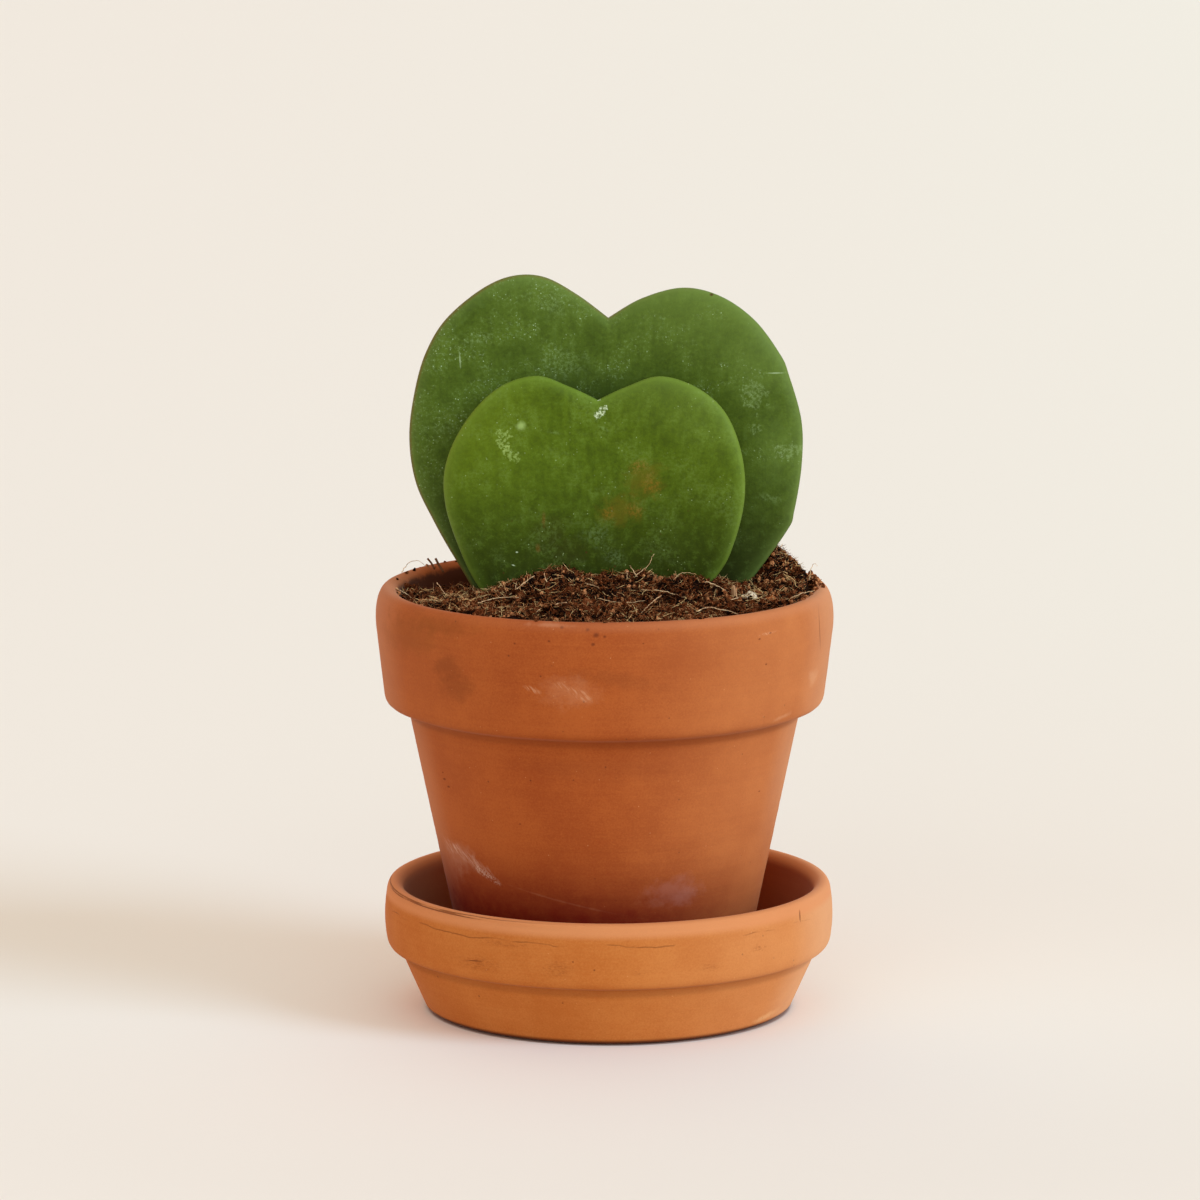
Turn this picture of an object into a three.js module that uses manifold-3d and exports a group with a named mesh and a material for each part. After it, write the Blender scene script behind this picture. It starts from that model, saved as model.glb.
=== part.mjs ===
// Sweetheart hoya: two thick heart-shaped leaves, each rooted by its own short stalk in a
// clay flowerpot of coir soil that stands in a clay saucer.
// Millimetres, +Z up. The origin is on the pot's axis, at the underside of the saucer, and
// -Y is the side that the leaves face.
import * as THREE from "three";
import { mergeVertices } from "three/addons/utils/BufferGeometryUtils.js";
import Module from "manifold-3d";

// Driving dimensions
const SIDES = 60; // faces round the pot, the saucer and the soil
const PROFILE_STEPS = 3; // straight runs in each rounded stretch of a profile
const GAP = 0.3; // clearance between the soil and what it holds or fills

const SAUCER_X = 1.0; // the pot stands this far off the saucer's middle
const SAUCER_HEIGHT = 31.3;
const SAUCER_BASE_R = 42.8;
const SAUCER_NECK_R = 49.7; // body just under the collar
const SAUCER_FLOOR_Z = 6;
const SAUCER_LIP_R = 51.9; // crest of the rounded lip
const SAUCER_COLLAR_R = 54.3; // widest, half way up the collar
const SAUCER_COLLAR_Z = 15.4; // underside of the collar
const SAUCER_LIP_INNER_R = 49.6;
const SAUCER_DISH_R = 45.4; // foot of the inner wall, above its rounded corner
const SAUCER_DISH_Z = 11;

const POT_TOP_Z = 103.2;
const POT_FOOT_R = 33.3;
const POT_NECK_R = 46.8; // body just under the collar
const POT_NECK_Z = 71.2;
const POT_COLLAR_Z = 77.2; // where the collar's wall starts, above its rounded lower edge
const POT_COLLAR_LOW_R = 53.1;
const POT_COLLAR_R = 55.3; // widest, near the top of the collar
const POT_LIP_R = 52.3; // crest of the rounded lip
const POT_LIP_INNER_R = 49;
const POT_LIP_INNER_Z = 98.6;
const POT_FLOOR_THICKNESS = 7;
const POT_CORNER_R = 28.2; // where the inner wall would meet the floor
const DRAIN_HOLE_R = 6;

const POT_FOOT_Z = SAUCER_FLOOR_Z; // the foot rests on the saucer's floor
const POT_FLOOR_Z = POT_FOOT_Z + POT_FLOOR_THICKNESS;
const POT_WALL_SLOPE = (POT_LIP_INNER_R - POT_CORNER_R) / (POT_LIP_INNER_Z - POT_FLOOR_Z);
const POT_CORNER_FILLET = 4.5;

const SOIL_LEVEL = 101.3;
const SOIL_RINGS = 22;
// Heaps and hollows of the soil: middle, height, and spread along X and Y
const SOIL_LUMPS = [
  { x: -25, y: -8, height: 2.9, spreadX: 7, spreadY: 9 },
  { x: -13, y: -7, height: 6.7, spreadX: 8, spreadY: 9 },
  { x: 4, y: -7, height: 5.6, spreadX: 10, spreadY: 10 },
  { x: 21, y: -7, height: 5.4, spreadX: 10, spreadY: 10 },
  { x: -10, y: -32, height: 1.2, spreadX: 13, spreadY: 8 },
  { x: 40.5, y: 14, height: 6.4, spreadX: 4.5, spreadY: 8 },
  { x: 45, y: 9, height: 3.2, spreadX: 9.5, spreadY: 15 },
  { x: 24, y: 33, height: 2, spreadX: 13, spreadY: 10 },
  { x: -36, y: 27, height: -5.4, spreadX: 14, spreadY: 14 },
  { x: -4, y: 38, height: -2, spreadX: 16, spreadY: 9 },
];
// Clods and crumbs that roughen the surface: how wide they are and how high they stand
const SOIL_CLODS = [
  { size: 7.3, height: 2.4 },
  { size: 3.7, height: 1.7 },
];

// The two leaves. Outlines are in the leaf's own plane, from the notch between the lobes
// down to the pointed base, with the origin on the leaf's midrib line near that base.
const LEAF_FRONT = {
  foot: { x: 0, y: -3, z: 84 },
  leanDeg: 2,
  thickness: 4,
  middle: new THREE.Vector2(-1.8, 38),
  fold: 0.13,
  foldSoftness: 6,
  rollStart: 22,
  roll: 0.007,
  bend: 0.0007,
  stalkLength: 12,
  stalkR: 2.3,
  left: [
    [-1.6, 64.3], [-8.6, 67.6], [-16.5, 70.2], [-25.5, 67.4], [-33.2, 59.6], [-38, 49.5],
    [-38.2, 39.5], [-34.5, 28], [-29.6, 18.6], [-21, 8.5], [-10, 0], [-1.8, -5],
  ],
  right: [
    [-1.6, 64.3], [5.2, 67.5], [13.4, 70.1], [22.3, 67.4], [29.1, 61.3], [33, 51.1],
    [33.5, 40], [30.4, 28.2], [26.4, 21.4], [17.5, 10], [7, 0.5], [-1.8, -5],
  ],
};
const LEAF_REAR = {
  foot: { x: 0, y: 6.5, z: 84 },
  leanDeg: 4,
  thickness: 4.4,
  middle: new THREE.Vector2(0.6, 46),
  fold: 0.13,
  foldSoftness: 8,
  rollStart: 28,
  roll: 0.006,
  bend: 0.0006,
  stalkLength: 12,
  stalkR: 2.5,
  left: [
    [0.9, 82.7], [-6.6, 88.3], [-14.7, 92.6], [-22.5, 92.8], [-30, 89.5], [-38, 82.8],
    [-42.6, 75.6], [-45.4, 67], [-47.1, 55], [-45.7, 43.7], [-41.3, 34], [-35.8, 24.3],
    [-27, 10.8], [-13, -1.5], [0.4, -7],
  ],
  right: [
    [0.9, 82.7], [9, 87.4], [18.9, 90], [28, 88], [36.2, 82.3], [42.4, 74], [44.4, 69.3],
    [47.5, 58.2], [47.6, 47.5], [45.8, 36.2], [44, 31.4], [33.9, 17.6], [24, 6.5],
    [12, -2], [0.4, -7],
  ],
};
const LEAF_HALF_SIDES = 30; // steps down each half of an outline
const LEAF_RIM_INSETS = [0.25, 0.9, 2.4]; // rings of the rounded rim, from the edge inwards
const LEAF_RIM_WIDTH = 2.4;
const LEAF_INNER_RINGS = [0.8, 0.6, 0.4, 0.2]; // share of the way from the middle to the rim
const LEAF_RIM_PUSH = 1.6; // an outline grows this much more than the gap asks for
const STALK_ROOT = 8; // how far up inside the blade a stalk starts
const STALK_DRIFT = { x: 1.5, y: 1 }; // how far its lower end stands off from its neck

const PERLITE = { x: 34.8, y: -12, r: 1.9, sunk: 0.5 };
const BARK_CHIP = { x: 40, y: -12.5, length: 3.2, width: 2.2, height: 1.8, sunk: 0.5 };
const TWIG = { x: 31.2, y: -13.5, r: 0.65, length: 6.4, sunk: 2.6, leanDeg: 7 };

// Colours and finishes
const finish = (color, roughness) =>
  new THREE.MeshStandardMaterial({ color, roughness, metalness: 0 });
const CLAY_POT = finish(0xb4633a, 0.85);
const CLAY_SAUCER = finish(0xcb834c, 0.85);
const COIR_SOIL = finish(0x4a2e20, 1);
const LEAF_YOUNG = finish(0x5c7a1e, 0.5);
const LEAF_OLD = finish(0x4a6c2a, 0.5);
const PERLITE_WHITE = finish(0xd9ccb6, 0.9);
const BARK_BROWN = finish(0x9a5528, 0.9);
const STRAW_TAN = finish(0x95643a, 0.85);

const kernel = await Module();
kernel.setup();

// A closed geometry as a solid that can be joined and cut.
function toSolid(geometry) {
  const bare = geometry.clone();
  bare.deleteAttribute("normal");
  bare.deleteAttribute("uv");
  const merged = mergeVertices(bare, 1e-4);
  return new kernel.Manifold(
    new kernel.Mesh({
      numProp: 3,
      vertProperties: new Float32Array(merged.attributes.position.array),
      triVerts: new Uint32Array(merged.index.array),
    }),
  );
}

// A solid as a geometry again.
function toGeometry(solid) {
  const { vertProperties, triVerts } = solid.getMesh();
  return new THREE.BufferGeometry()
    .setAttribute("position", new THREE.BufferAttribute(vertProperties, 3))
    .setIndex(new THREE.BufferAttribute(triVerts, 1));
}

// A profile of radius and height, turned round the Z axis.
function turned(profile) {
  return new THREE.LatheGeometry(profile, SIDES).rotateX(Math.PI / 2);
}

// A closed skin over rings of equally many points, from a point at one end to one at the other.
function skin(first, rings, last) {
  const sides = rings[0].length;
  const positions = [first, ...rings.flat(), last].flat();
  const end = 1 + rings.length * sides;
  const triangles = [];
  for (let i = 0; i < sides; i++) {
    const j = (i + 1) % sides;
    triangles.push(0, 1 + i, 1 + j);
    for (let a = 1; a + sides < end; a += sides) {
      const b = a + sides;
      triangles.push(a + i, b + i, b + j, a + i, b + j, a + j);
    }
    triangles.push(end - sides + i, end, end - sides + j);
  }
  return new THREE.BufferGeometry()
    .setAttribute("position", new THREE.Float32BufferAttribute(positions, 3))
    .setIndex(triangles);
}

// Saucer: a shallow clay dish with a straight collar, thrown in one piece.
function saucerProfile() {
  const path = new THREE.Path();
  path.moveTo(0, 0);
  path.lineTo(SAUCER_BASE_R, 0);
  path.quadraticCurveTo(SAUCER_BASE_R + 1.4, 0, SAUCER_BASE_R + 1.9, 1);
  path.lineTo(SAUCER_NECK_R, SAUCER_COLLAR_Z - 2.6);
  path.quadraticCurveTo(SAUCER_NECK_R + 0.6, SAUCER_COLLAR_Z - 0.6, 51.2, SAUCER_COLLAR_Z - 0.3);
  path.lineTo(52.2, SAUCER_COLLAR_Z);
  path.quadraticCurveTo(53.6, SAUCER_COLLAR_Z + 0.3, SAUCER_COLLAR_R - 0.4, 18);
  path.quadraticCurveTo(SAUCER_COLLAR_R + 0.4, 23, SAUCER_COLLAR_R - 0.4, 28.4);
  path.bezierCurveTo(SAUCER_COLLAR_R - 0.6, 30.4, 53.2, SAUCER_HEIGHT, SAUCER_LIP_R, SAUCER_HEIGHT);
  path.bezierCurveTo(50.7, SAUCER_HEIGHT, 49.8, 30.2, SAUCER_LIP_INNER_R, 28.6);
  path.lineTo(SAUCER_DISH_R, SAUCER_DISH_Z);
  path.quadraticCurveTo(SAUCER_DISH_R - 1.1, SAUCER_FLOOR_Z + 0.1, 40.6, SAUCER_FLOOR_Z);
  path.lineTo(0, SAUCER_FLOOR_Z);
  return path.getPoints(PROFILE_STEPS);
}

function makeSaucer() {
  const mesh = new THREE.Mesh(turned(saucerProfile()), CLAY_SAUCER);
  mesh.name = "saucer";
  mesh.position.x = SAUCER_X;
  return mesh;
}

// Radius of the pot's inner wall at a height.
function potInnerRadius(z) {
  return POT_CORNER_R + (z - POT_FLOOR_Z) * POT_WALL_SLOPE;
}

// Pot: a tapered clay cup with a tall collar, a rounded lip and a drain hole in its floor.
function potProfile() {
  const path = new THREE.Path();
  path.moveTo(DRAIN_HOLE_R, POT_FOOT_Z);
  path.lineTo(POT_FOOT_R - 1.2, POT_FOOT_Z);
  path.quadraticCurveTo(POT_FOOT_R - 0.2, POT_FOOT_Z, POT_FOOT_R, POT_FOOT_Z + 1.2);
  path.lineTo(POT_NECK_R, POT_NECK_Z);
  path.quadraticCurveTo(47.4, 73.8, 49.4, 74.3);
  path.lineTo(51.2, 74.9);
  path.quadraticCurveTo(52.8, 75.4, POT_COLLAR_LOW_R, POT_COLLAR_Z);
  path.lineTo(POT_COLLAR_R - 0.25, 93.4);
  path.bezierCurveTo(POT_COLLAR_R + 0.25, 97.5, 54.9, POT_TOP_Z, POT_LIP_R, POT_TOP_Z);
  path.bezierCurveTo(50.2, POT_TOP_Z, 49.5, 101.6, POT_LIP_INNER_R, POT_LIP_INNER_Z);
  const filletTop = POT_FLOOR_Z + POT_CORNER_FILLET;
  path.lineTo(potInnerRadius(filletTop), filletTop);
  path.quadraticCurveTo(POT_CORNER_R, POT_FLOOR_Z, POT_CORNER_R - POT_CORNER_FILLET, POT_FLOOR_Z);
  path.lineTo(DRAIN_HOLE_R, POT_FLOOR_Z);
  path.lineTo(DRAIN_HOLE_R, POT_FOOT_Z);
  return path.getPoints(PROFILE_STEPS);
}

function makePot() {
  const mesh = new THREE.Mesh(turned(potProfile()), CLAY_POT);
  mesh.name = "pot";
  return mesh;
}

// How far a leaf's middle surface stands towards its face at a point of its plane: the two
// halves fold forwards from the midrib, their edges roll back, and the blade bends back.
function leafForward(leaf, u, v) {
  const side = Math.abs(u - leaf.middle.x);
  const fold = leaf.fold * (Math.hypot(side, leaf.foldSoftness) - leaf.foldSoftness);
  const roll = leaf.roll * Math.max(0, side - leaf.rollStart) ** 2;
  return fold - roll - leaf.bend * (v - leaf.middle.y / 2) ** 2;
}

// The whole outline of a leaf: down the left half, then up the right one.
function leafOutline(leaf) {
  const half = (points) =>
    new THREE.SplineCurve(points.map(([u, v]) => new THREE.Vector2(u, v))).getSpacedPoints(
      LEAF_HALF_SIDES,
    );
  return [...half(leaf.left).slice(0, -1), ...half(leaf.right).reverse().slice(0, -1)];
}

// Rings of a blade's face, from the edge to near the middle: how far out each one lies, and
// half the blade's thickness there, which falls away over the rounded rim.
function bladeRings(leaf, grow) {
  const half = leaf.thickness / 2 + grow;
  const rim = LEAF_RIM_INSETS.map((inset) => ({
    distance: (reach) => reach - inset,
    half: half * Math.sqrt(1 - (1 - inset / LEAF_RIM_WIDTH) ** 2),
  }));
  const inner = LEAF_INNER_RINGS.map((share) => ({
    distance: (reach) => (reach - LEAF_RIM_WIDTH) * share,
    half,
  }));
  return [...rim, ...inner];
}

// Blade: its front and its back, which meet in the edge. It is made larger all over by grow.
function bladeGeometry(leaf, grow = 0) {
  const { middle } = leaf;
  const point = (u, v, offset) => [u, -(leafForward(leaf, u, v) + offset), v];
  const ring = (distance, offset) =>
    leafOutline(leaf).map((p) => {
      const ray = p.clone().sub(middle);
      const q = ray.setLength(distance(ray.length() + grow * LEAF_RIM_PUSH)).add(middle);
      return point(q.x, q.y, offset);
    });
  const rings = bladeRings(leaf, grow);
  const front = rings.map(({ distance, half }) => ring(distance, half));
  const back = rings.map(({ distance, half }) => ring(distance, -half));
  const edge = ring((reach) => reach, 0);
  const half = leaf.thickness / 2 + grow;
  return skin(
    point(middle.x, middle.y, half),
    [...front.reverse(), edge, ...back],
    point(middle.x, middle.y, -half),
  );
}

// Stalk: a short round stem that grows down out of the blade's pointed base.
function stalkGeometry(leaf, grow = 0) {
  const [baseU, baseV] = leaf.left[leaf.left.length - 1];
  const y = -leafForward(leaf, baseU, baseV);
  const top = new THREE.Vector3(baseU, y, baseV + STALK_ROOT);
  const neck = new THREE.Vector3(baseU, y, baseV);
  const end = new THREE.Vector3(
    baseU + STALK_DRIFT.x,
    y + STALK_DRIFT.y,
    baseV - leaf.stalkLength - grow,
  );
  const section = new THREE.Shape().absarc(0, 0, leaf.stalkR + grow, 0, 2 * Math.PI);
  return new THREE.ExtrudeGeometry(section, {
    steps: 6,
    curveSegments: 5,
    bevelEnabled: false,
    extrudePath: new THREE.CatmullRomCurve3([top, neck, end]),
  });
}

function leafSolid(leaf, grow = 0) {
  return toSolid(bladeGeometry(leaf, grow)).add(toSolid(stalkGeometry(leaf, grow)));
}

// The frame in which a leaf stands, leaning back from its foot.
function leafStand(leaf) {
  const stand = new THREE.Group();
  stand.position.set(leaf.foot.x, leaf.foot.y, leaf.foot.z);
  stand.rotation.x = -THREE.MathUtils.degToRad(leaf.leanDeg);
  stand.updateMatrixWorld(true);
  return stand;
}

function makeLeaf(name, leaf, material) {
  const stand = leafStand(leaf);
  const mesh = new THREE.Mesh(toGeometry(leafSolid(leaf)), material);
  mesh.name = name;
  stand.add(mesh);
  return stand;
}

// A fixed number between 0 and 1 for each cell of a square grid.
function cellValue(i, j) {
  const mixed = Math.sin(i * 127.1 + j * 311.7) * 43758.5453;
  return mixed - Math.floor(mixed);
}

// Smooth random relief between -0.5 and 0.5, with one rise or dip to a grid cell.
function clodRelief(x, y) {
  const [i, j] = [Math.floor(x), Math.floor(y)];
  const [s, t] = [THREE.MathUtils.smoothstep(x - i, 0, 1), THREE.MathUtils.smoothstep(y - j, 0, 1)];
  const near = THREE.MathUtils.lerp(cellValue(i, j), cellValue(i + 1, j), s);
  const far = THREE.MathUtils.lerp(cellValue(i, j + 1), cellValue(i + 1, j + 1), s);
  return THREE.MathUtils.lerp(near, far, t) - 0.5;
}

// Height of the soil's surface.
function soilHeight(x, y) {
  let z = SOIL_LEVEL;
  for (const lump of SOIL_LUMPS) {
    const dx = (x - lump.x) / lump.spreadX;
    const dy = (y - lump.y) / lump.spreadY;
    z += lump.height * Math.exp(-(dx * dx + dy * dy));
  }
  for (const clod of SOIL_CLODS) z += clod.height * clodRelief(x / clod.size, y / clod.size);
  return z;
}

// Soil: fills the pot to its wall and floor, with its heaped surface on top.
function soilGeometry() {
  const ring = (radius, height) =>
    Array.from({ length: SIDES }, (_, i) => {
      const angle = (2 * Math.PI * i) / SIDES;
      const [c, s] = [Math.cos(angle), Math.sin(angle)];
      const r = radius(c, s);
      return [r * c, r * s, height(r * c, r * s)];
    });
  // At the wall the surface meets the pot's taper, whatever its height there.
  const wallRadius = (c, s) => {
    const near = potInnerRadius(SOIL_LEVEL) - GAP;
    return Math.min(potInnerRadius(soilHeight(near * c, near * s)), POT_LIP_INNER_R) - GAP;
  };
  const surface = Array.from({ length: SOIL_RINGS }, (_, k) =>
    ring((c, s) => (wallRadius(c, s) * (k + 1)) / SOIL_RINGS, soilHeight),
  );
  const cornerZ = POT_FLOOR_Z + POT_CORNER_FILLET;
  const corner = ring(() => potInnerRadius(cornerZ) - GAP, () => cornerZ);
  const foot = ring(() => POT_CORNER_R - POT_CORNER_FILLET - GAP, () => POT_FLOOR_Z);
  return skin([0, 0, soilHeight(0, 0)], [...surface, corner, foot], [0, 0, POT_FLOOR_Z]);
}

// Perlite: a crushed white grain, half sunk in the soil.
function perliteGeometry(grow = 0) {
  const grain = new THREE.IcosahedronGeometry(PERLITE.r + grow, 1);
  grain.scale(1, 0.85, 0.8);
  grain.translate(PERLITE.x, PERLITE.y, soilHeight(PERLITE.x, PERLITE.y) + PERLITE.sunk);
  return grain;
}

// Bark chip: a small orange-brown flake beside the perlite.
function barkGeometry(grow = 0) {
  const chip = new THREE.IcosahedronGeometry(0.5, 1);
  chip.scale(BARK_CHIP.length + 2 * grow, BARK_CHIP.width + 2 * grow, BARK_CHIP.height + 2 * grow);
  chip.rotateY(0.3);
  chip.rotateZ(0.7);
  chip.translate(BARK_CHIP.x, BARK_CHIP.y, soilHeight(BARK_CHIP.x, BARK_CHIP.y) + BARK_CHIP.sunk);
  return chip;
}

// Twig: a broken end of straw that stands up out of the soil.
function twigGeometry(grow = 0) {
  const foot = TWIG.r * 1.2;
  const twig = new THREE.CylinderGeometry(TWIG.r + grow, foot + grow, TWIG.length + 2 * grow, 8);
  twig.rotateX(Math.PI / 2);
  twig.translate(0, 0, TWIG.length / 2 - TWIG.sunk);
  twig.rotateY(-THREE.MathUtils.degToRad(TWIG.leanDeg));
  twig.translate(TWIG.x, TWIG.y, soilHeight(TWIG.x, TWIG.y));
  return twig;
}

// What stands in the soil is cut out of it with the gap all round.
function makeSoil() {
  let solid = toSolid(soilGeometry());
  for (const leaf of [LEAF_FRONT, LEAF_REAR]) {
    const cutter = toGeometry(leafSolid(leaf, GAP)).applyMatrix4(leafStand(leaf).matrixWorld);
    solid = solid.subtract(toSolid(cutter));
  }
  for (const grain of [perliteGeometry, barkGeometry, twigGeometry]) {
    solid = solid.subtract(toSolid(grain(GAP)));
  }
  const [main] = solid.decompose().sort((a, b) => b.volume() - a.volume());
  const mesh = new THREE.Mesh(toGeometry(main), COIR_SOIL);
  mesh.name = "potting_soil";
  return mesh;
}

function makeGrain(name, geometry, material) {
  const mesh = new THREE.Mesh(geometry, material);
  mesh.name = name;
  return mesh;
}

const hoya = new THREE.Group();
hoya.add(
  makeSaucer(),
  makePot(),
  makeSoil(),
  makeLeaf("leaf_front", LEAF_FRONT, LEAF_YOUNG),
  makeLeaf("leaf_rear", LEAF_REAR, LEAF_OLD),
  makeGrain("perlite_grain", perliteGeometry(), PERLITE_WHITE),
  makeGrain("bark_chip", barkGeometry(), BARK_BROWN),
  makeGrain("twig_stub", twigGeometry(), STRAW_TAN),
);

export default hoya;
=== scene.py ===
# Sweetheart hoya: two heart-shaped leaves rooted in a clay pot of coir soil, on a clay saucer.
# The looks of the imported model, in its own frame and in metres. Sizes are written in
# millimetres and scaled by MM, and -Y is the side that the leaves face.
import math

import bpy
import numpy as np
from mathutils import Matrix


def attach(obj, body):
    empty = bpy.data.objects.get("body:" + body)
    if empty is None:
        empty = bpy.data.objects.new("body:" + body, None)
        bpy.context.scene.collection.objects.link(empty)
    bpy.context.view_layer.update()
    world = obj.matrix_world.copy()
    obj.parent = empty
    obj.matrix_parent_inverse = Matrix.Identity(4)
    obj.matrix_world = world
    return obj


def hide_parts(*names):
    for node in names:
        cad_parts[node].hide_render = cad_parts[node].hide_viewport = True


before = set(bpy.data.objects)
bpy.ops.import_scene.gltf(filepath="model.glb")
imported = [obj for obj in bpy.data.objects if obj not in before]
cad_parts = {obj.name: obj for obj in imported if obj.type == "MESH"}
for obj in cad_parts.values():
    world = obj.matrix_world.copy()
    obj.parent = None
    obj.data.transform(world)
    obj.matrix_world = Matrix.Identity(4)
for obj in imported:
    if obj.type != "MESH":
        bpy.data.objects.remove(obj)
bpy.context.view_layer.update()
MM = 0.001


# Camera: a long lens at the photo's place, looking slightly down on the pot.
LOOK_DOWN = math.radians(9.69)


def added(name, data):
    """A new object of the scene."""
    piece = bpy.data.objects.new(name, data)
    bpy.context.collection.objects.link(piece)
    return piece


lens = bpy.data.cameras.new("camera")
lens.lens = 197.6
lens.sensor_width = 36
camera = added("camera", lens)
camera.location = (-1.09 * MM, -1564.9 * MM, 366.84 * MM)
camera.rotation_euler = (math.pi / 2 - LOOK_DOWN, 0, 0)
bpy.context.scene.camera = camera


# Saucer: a shallow dish of yellowish orange clay, thrown in one piece and fired unglazed.
# Its collar stands straight, a fold of slip runs round the lip, and the dry clay has
# hairline cracks and scuffs.
class Value:
    """A socket of a node tree. Sums and products of it add Math nodes."""

    def __init__(self, nodes, socket):
        self.nodes = nodes
        self.socket = socket

    def maths(self, operation, *others):
        terms = dict(enumerate((self, *others)))
        return self.nodes.add("ShaderNodeMath", terms, operation=operation)

    def __add__(self, other):
        return self.maths("ADD", other)

    def __sub__(self, other):
        return self.maths("SUBTRACT", other)

    def __rsub__(self, other):
        return self.maths("MULTIPLY_ADD", -1, other)

    def __mul__(self, other):
        return self.maths("MULTIPLY", other)

    def __truediv__(self, other):
        return self.maths("DIVIDE", other)

    __radd__ = __add__
    __rmul__ = __mul__

    def rise(self, low, high):
        """0 below low and 1 above high, with a smooth change between them."""
        stops = {"Value": self, "From Min": low, "From Max": high}
        return self.nodes.add("ShaderNodeMapRange", stops, interpolation_type="SMOOTHSTEP")

    def fall(self, low, high):
        return 1 - self.rise(low, high)

    def band(self, low, high, soft):
        """1 between low and high, fading to 0 over a soft edge outside them."""
        return self.rise(low - soft, low) * self.fall(high, high + soft)

    def along(self, axis):
        """The part of a vector along axis 0, 1 or 2."""
        return self.nodes.add("ShaderNodeSeparateXYZ", {0: self}, axis)

    def beside(self, output):
        """Another output of the same node."""
        return Value(self.nodes, self.socket.node.outputs[output])


class Nodes:
    """A node tree, of a material or of Geometry Nodes, and the one way to add a node to it."""

    def __init__(self, tree):
        self.tree = tree
        tree.nodes.clear()

    def add(self, kind, sockets=None, output=0, **settings):
        node = self.tree.nodes.new(kind)
        for name, setting in settings.items():
            setattr(node, name, setting)
        for key, value in (sockets or {}).items():
            if isinstance(value, Value):
                self.tree.links.new(value.socket, node.inputs[key])
            else:
                node.inputs[key].default_value = value
        return Value(self, node.outputs[output]) if node.outputs else None

    def vector(self, x, y, z):
        return self.add("ShaderNodeCombineXYZ", {0: x, 1: y, 2: z})

    def stretched(self, vector, x, y, z):
        return self.add("ShaderNodeVectorMath", {0: vector, 1: (x, y, z)}, operation="MULTIPLY")

    def scaled(self, vector, size):
        return self.add("ShaderNodeVectorMath", {0: vector, "Scale": size}, operation="SCALE")

    def shifted(self, vector, other):
        return self.add("ShaderNodeVectorMath", {0: vector, 1: other}, operation="ADD")

    def noise(self, vector, scale, detail=2, rough=0.5, output=0):
        sockets = {"Vector": vector, "Scale": scale, "Detail": detail, "Roughness": rough}
        return self.add("ShaderNodeTexNoise", sockets, output)

    def layer(self, below, above, share, blend="MIX"):
        """A colour laid over the one below, by a share from 0 to 1."""
        sockets = {0: share, 6: below, 7: above}
        return self.add("ShaderNodeMix", sockets, 2, data_type="RGBA", blend_type=blend)


class Finish(Nodes):
    """A material in the making, from its darkest coat up. Its patterns are in millimetres."""

    def __init__(self, name, undercoat):
        self.material = bpy.data.materials.new(name)
        self.material.use_nodes = True
        super().__init__(self.material.node_tree)
        self.colour = paint(*undercoat)

    def place(self):
        """Where a point of the object is."""
        return self.scaled(self.add("ShaderNodeTexCoord", output="Object"), 1 / MM)

    def out_from(self, x, place):
        """How far a point is from the upright axis at x."""
        flat = self.vector(place.along(0) - x, place.along(1), 0)
        return self.add("ShaderNodeVectorMath", {0: flat}, "Value", operation="LENGTH")

    def written(self, name, output="Vector"):
        """What a mesh has written on its points under a name."""
        return self.add("ShaderNodeAttribute", {}, output, attribute_name=name)

    def over(self, shade, share):
        """Lays a colour over what is there, by a share from 0 to 1."""
        self.colour = self.layer(self.colour, paint(*shade), share)

    def dots(self, vector, scale, size, share):
        """Round dots in a share of the cells, of a size measured in cells."""
        away = self.add("ShaderNodeTexVoronoi", {"Vector": vector, "Scale": scale})
        chosen = away.beside("Color").along(0).fall(share, share + 0.01)
        return chosen * away.fall(size * 0.5, size)

    def faced(self, across, up, rough, front, ragged):
        """Says how marks are placed: how far across and up, how roughly, and where the front is."""
        self.face = across, up, rough, front
        self.ragged = ragged

    def mark(self, middle, size, tilt=0, ragged=None):
        """A soft ragged mark by its middle, its half length and width, and any tilt."""
        across, up, rough, front = self.face
        right, high = across - middle[0], up - middle[1]
        c, s = math.cos(math.radians(tilt)), math.sin(math.radians(tilt))
        length, width = (right * c + high * s) / size[0], (high * c - right * s) / size[1]
        reach = (length * length + width * width).maths("SQRT")
        ragged = self.ragged if ragged is None else ragged
        return (reach + rough * (2 * ragged)).fall(0.2, 1) * front

    def marks(self, shade, share, *marks, ragged=None, crisp=False):
        """Lays a colour on in some marks, soft or with a crisp edge."""
        for mark in marks:
            spread = self.mark(*mark, ragged=ragged)
            self.over(shade, (spread.rise(0.2, 0.45) if crisp else spread) * share)

    def finish(self, roughness, gloss, height, depth, **sheen):
        relief = self.add("ShaderNodeBump", {"Height": height, "Distance": depth * MM})
        surface = self.add("ShaderNodeBsdfPrincipled", {
            "Base Color": self.colour, "Roughness": roughness, "Specular IOR Level": gloss,
            "Normal": relief, **sheen,
        })
        self.add("ShaderNodeOutputMaterial", {"Surface": surface})
        return self.material


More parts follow.
